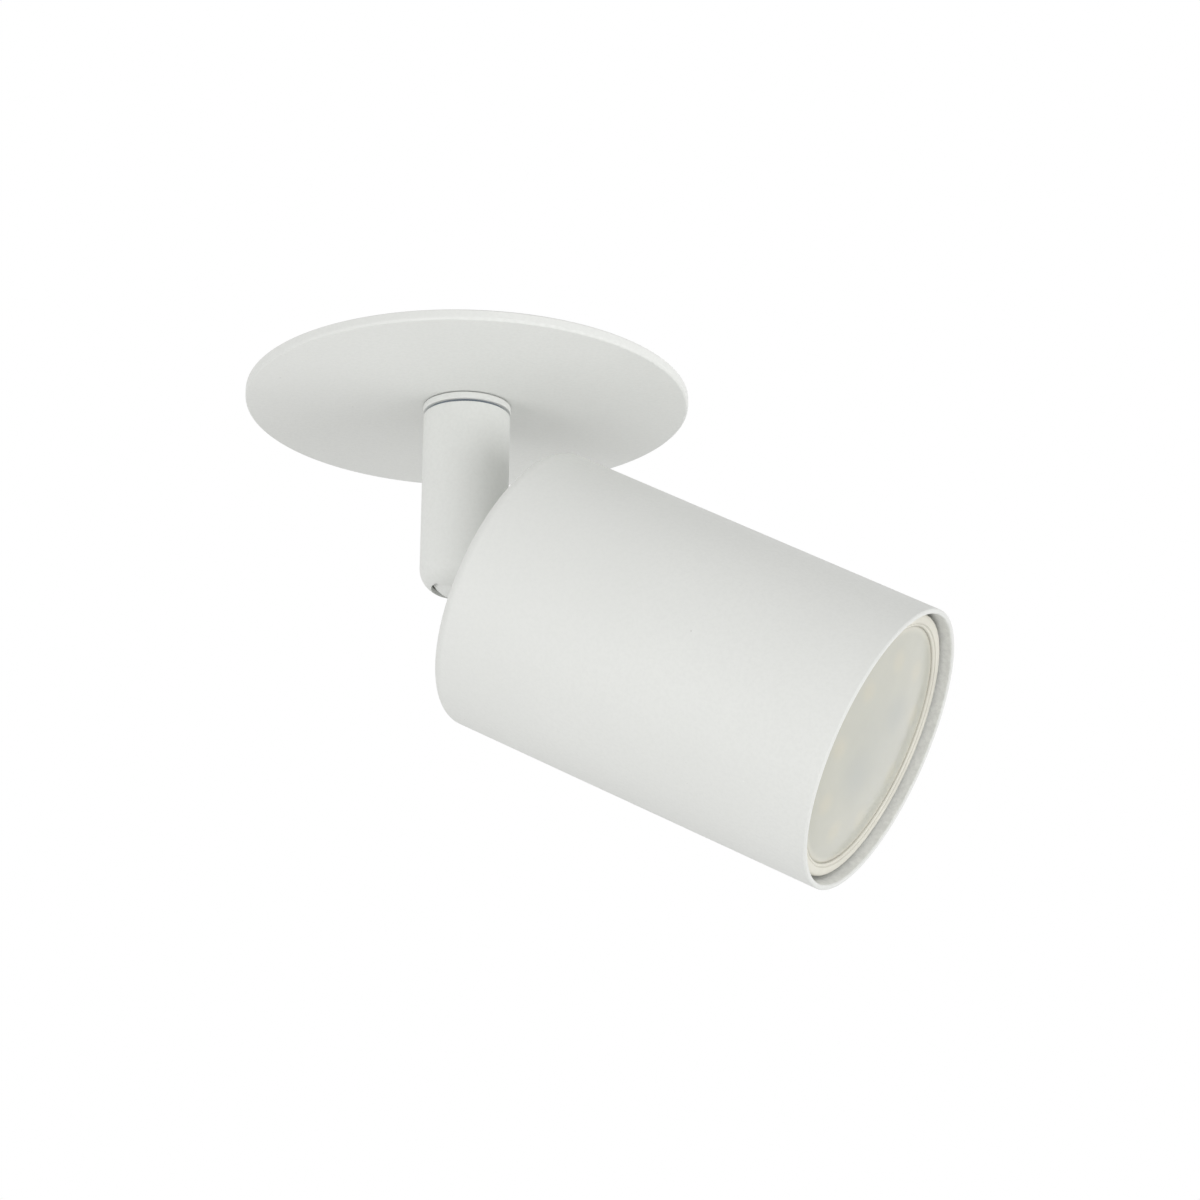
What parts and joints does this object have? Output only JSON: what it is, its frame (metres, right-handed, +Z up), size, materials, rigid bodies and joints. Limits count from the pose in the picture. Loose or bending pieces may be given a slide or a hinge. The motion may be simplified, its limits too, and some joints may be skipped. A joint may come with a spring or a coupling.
{
  "type": "recessed spotlight",
  "caption": "Ceiling spotlight: a round plate with sprung clips carries a swivelling stem with a tilting cylindrical head and a reflector lamp.",
  "frame": {"origin": "centre of the ceiling plate's upper face, in the plane of the ceiling", "axes": "+Z up into the ceiling, +X towards the picture's right, +Y away from the camera; the head points to +X and a little to -Y and down at rest"},
  "size_m": [0.1305, 0.0908, 0.1173],
  "materials": {
    "white_paint": "matte",
    "zinc_steel": "satin",
    "spring_wire": "satin",
    "brass": "satin",
    "natural_plastic": "satin",
    "washer_plastic": "matte",
    "ceramic": "matte",
    "pad_rubber": "matte",
    "lead_sleeve": "satin",
    "lamp_plastic": "satin",
    "diffuser": "matte",
    "lamp_shell": "matte",
    "board_metal": "satin",
    "chip_phosphor": "matte",
    "board_green": "satin",
    "driver_black": "satin"
  },
  "bodies": {
    "mount": {"ceiling_plate": "white_paint", "collar_ring": "white_paint", "swivel_washer": "washer_plastic", "weld_studs": "zinc_steel", "mounting_bracket": "zinc_steel", "stud_nuts": "zinc_steel", "stud_washer": "zinc_steel", "earth_tag": "brass", "clip_saddle_left": "zinc_steel", "clip_saddle_right": "zinc_steel", "saddle_rivets": "zinc_steel", "clip_pins": "zinc_steel", "clip_spring_left": "spring_wire", "clip_spring_right": "spring_wire", "stop_pin": "zinc_steel", "terminal_block": "natural_plastic", "terminal_tubes": "brass", "terminal_screws": "zinc_steel", "terminal_block_screw": "zinc_steel", "cable_clamp": "zinc_steel", "clamp_screws": "zinc_steel", "supply_leads": "lead_sleeve"},
    "stem": {"stem": "white_paint", "swivel_spigot": "zinc_steel", "friction_washer": "zinc_steel", "stop_washer": "zinc_steel", "swivel_nut": "zinc_steel", "spigot_bushing": "natural_plastic", "pivot_screw": "zinc_steel", "stem_leads": "lead_sleeve"},
    "head": {"head_casing": "white_paint", "knuckle_ball": "white_paint", "knuckle_lock_washer": "zinc_steel", "knuckle_nut": "zinc_steel", "holder_bracket": "zinc_steel", "lamp_holder": "ceramic", "holder_screws": "zinc_steel", "holder_contacts": "brass", "head_leads": "lead_sleeve"},
    "lamp": {"lamp_bezel": "lamp_plastic", "lamp_diffuser": "diffuser", "lamp_housing": "lamp_shell", "lamp_base": "lamp_plastic", "lamp_pins": "brass", "led_board": "board_metal", "led_chips": "chip_phosphor", "driver_board": "board_green", "driver_parts": "driver_black"},
    "clip_left": {"clip_arm_left": "zinc_steel", "clip_pad_left": "pad_rubber"},
    "clip_right": {"clip_arm_right": "zinc_steel", "clip_pad_right": "pad_rubber"}
  },
  "joints": [
    {"name": "stem_pan", "type": "hinge", "parent": "mount", "child": "stem", "pos_m": [0, 0, 0], "axis": [0, 0, 1], "range_deg": [-168, 168]},
    {"name": "head_tilt", "type": "hinge", "parent": "stem", "child": "head", "pos_m": [0, 0, -0.0334], "axis": [0.299, 0.9542, 0], "range_deg": [-28, 62]},
    {"name": "lamp_twist", "type": "hinge", "parent": "head", "child": "lamp", "pos_m": [0, 0, -0.0334], "axis": [0.8425, -0.264, -0.4695], "range_deg": [0, 25]},
    {"name": "clip_left_fold", "type": "hinge", "parent": "mount", "child": "clip_left", "pos_m": [-0.0225, 0, 0.007], "axis": [0, 1, 0], "range_deg": [0, 100], "stiffness_Nm_per_rad": 0.02, "deforming": ["clip_spring_left"]},
    {"name": "clip_right_fold", "type": "hinge", "parent": "mount", "child": "clip_right", "pos_m": [0.0225, 0, 0.007], "axis": [0, -1, 0], "range_deg": [0, 100], "stiffness_Nm_per_rad": 0.02, "deforming": ["clip_spring_right"]}
  ]
}
